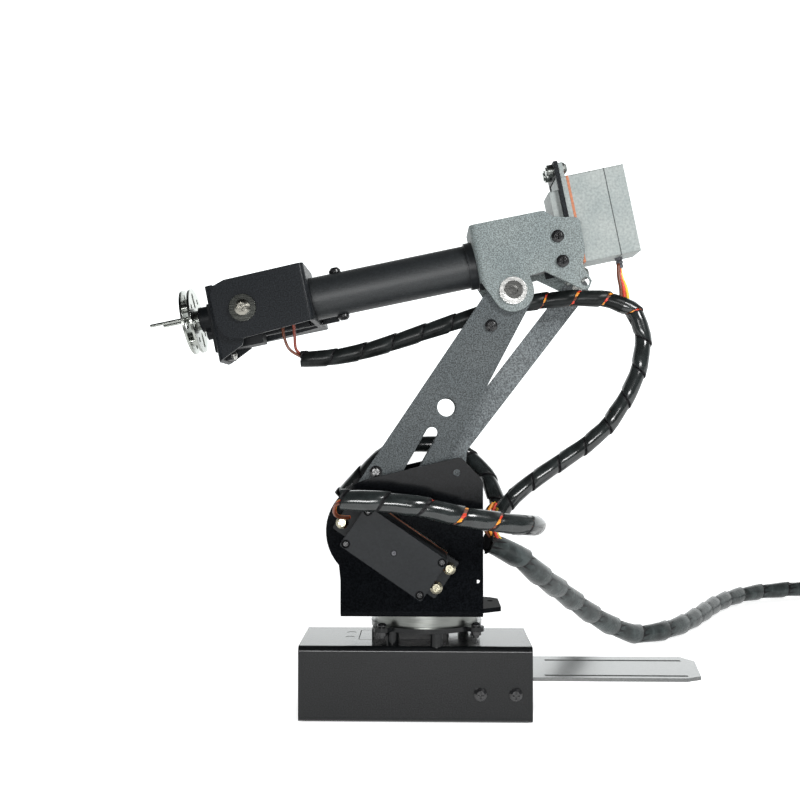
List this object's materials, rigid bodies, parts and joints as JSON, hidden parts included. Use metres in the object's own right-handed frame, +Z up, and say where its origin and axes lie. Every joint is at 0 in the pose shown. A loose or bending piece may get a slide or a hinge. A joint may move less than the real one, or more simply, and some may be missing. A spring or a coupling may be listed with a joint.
{
  "type": "desktop robot arm",
  "caption": "Desktop robot arm with a turning base, a parallelogram lower arm, a rolling forearm tube and a pitching, rolling wrist.",
  "frame": {"origin": "on the turning axis, at the underside of the base", "axes": "+X from the tool end towards the rear of the base, along the base's length; +Y to the far side; +Z up"},
  "size_m": [0.5473, 0.3909, 0.2514],
  "materials": {
    "powder_coat": "fine sandy powder coat",
    "servo_plastic": "satin moulded",
    "steel": "zinc plated and polished",
    "brass_screws": "nickelled brass",
    "black_screws": "black oxide",
    "bush_plastic": "turned",
    "cable_wrap": "glossy spiral wrap",
    "wires": "wire insulation",
    "connector_plastic": "moulded"
  },
  "bodies": {
    "base": {"main_cable": "cable_wrap", "cable_connectors": "connector_plastic", "base_shell": "powder_coat", "base_floor": "powder_coat", "board_plate": "powder_coat", "base_screws": "black_screws", "base_servo_case": "servo_plastic", "base_servo_lid": "servo_plastic", "base_servo_screws": "steel", "bearing_outer_race": "steel", "bearing_balls": "steel", "bearing_seat_ring": "powder_coat", "bearing_standoffs": "powder_coat", "bearing_clamp_screws": "black_screws"},
    "turntable": {"turntable_bracket": "powder_coat", "bearing_inner_race": "steel", "bearing_hub": "steel", "base_servo_horn": "steel", "turntable_screws": "black_screws", "shoulder_servo_case": "servo_plastic", "shoulder_servo_lid": "servo_plastic", "shoulder_servo_screws": "brass_screws", "elbow_servo_case": "servo_plastic", "elbow_servo_lid": "servo_plastic", "elbow_servo_screws": "brass_screws", "near_cable": "cable_wrap", "far_cable": "cable_wrap"},
    "lower_arm": {"link_near": "powder_coat", "link_far": "powder_coat", "link_spacers": "powder_coat", "link_screws": "black_screws", "shoulder_servo_horn": "steel", "shoulder_bearing": "steel"},
    "crank": {"elbow_crank": "powder_coat", "crank_pin": "steel"},
    "rod": {"push_rod": "powder_coat"},
    "forearm": {"elbow_bracket": "powder_coat", "servo_wall": "powder_coat", "elbow_bolts": "steel", "tube_bush": "bush_plastic", "bracket_screws": "black_screws", "roll_servo_case": "servo_plastic", "roll_servo_lid": "servo_plastic", "roll_servo_screws": "steel", "roll_servo_wires": "wires", "rod_pin": "steel", "forearm_cable": "cable_wrap"},
    "wrist_tube": {"forearm_tube": "powder_coat", "roll_servo_horn": "steel", "tube_screws": "black_screws", "wrist_fork": "powder_coat", "pitch_servo_case": "servo_plastic", "pitch_servo_screws": "steel", "wrist_wires": "wires"},
    "wrist": {"wrist_yoke": "powder_coat", "pitch_bearing": "steel", "tool_servo_case": "servo_plastic", "tool_servo_screws": "steel"},
    "tool": {"tool_hub": "steel", "tool_discs": "steel"}
  },
  "joints": [
    {"name": "base_yaw", "type": "hinge", "parent": "base", "child": "turntable", "pos_m": [0, 0, 0.0466], "axis": [0, 0, 1], "range_deg": [-60, 60], "deforming": ["main_cable"]},
    {"name": "shoulder", "type": "hinge", "parent": "turntable", "child": "lower_arm", "pos_m": [-0.0218, 0, 0.0842], "axis": [0, 1, 0], "range_deg": [-25, 25]},
    {"name": "elbow", "type": "hinge", "parent": "lower_arm", "child": "forearm", "pos_m": [0.039, 0, 0.1909], "axis": [0, 1, 0], "range_deg": [-20, 20], "deforming": ["forearm_cable", "roll_servo_wires"]},
    {"name": "crank_turn", "type": "hinge", "parent": "lower_arm", "child": "crank", "pos_m": [-0.0218, 0, 0.0842], "axis": [0, 1, 0], "range_deg": [-20, 20]},
    {"name": "rod_swing", "type": "hinge", "parent": "forearm", "child": "rod", "pos_m": [0.0714, 0, 0.195], "axis": [0, 1, 0], "range_deg": [-20, 20]},
    {"name": "forearm_roll", "type": "hinge", "parent": "forearm", "child": "wrist_tube", "pos_m": [0, 0, 0.2], "axis": [0.9796, 0, 0.2011], "range_deg": [-90, 90], "deforming": ["wrist_wires"]},
    {"name": "wrist_pitch", "type": "hinge", "parent": "wrist_tube", "child": "wrist", "pos_m": [-0.08228, 0, 0.18311], "axis": [0, 1, 0], "range_deg": [-20, 20]},
    {"name": "tool_roll", "type": "hinge", "parent": "wrist", "child": "tool", "pos_m": [-0.09653, 0, 0.18141], "axis": [-0.9796, 0, -0.2011], "range_deg": [-90, 90]}
  ],
  "couplings": [
    {"joint": "crank_turn", "follows": "elbow", "ratio": 1},
    {"joint": "rod_swing", "follows": "elbow", "ratio": -1}
  ]
}
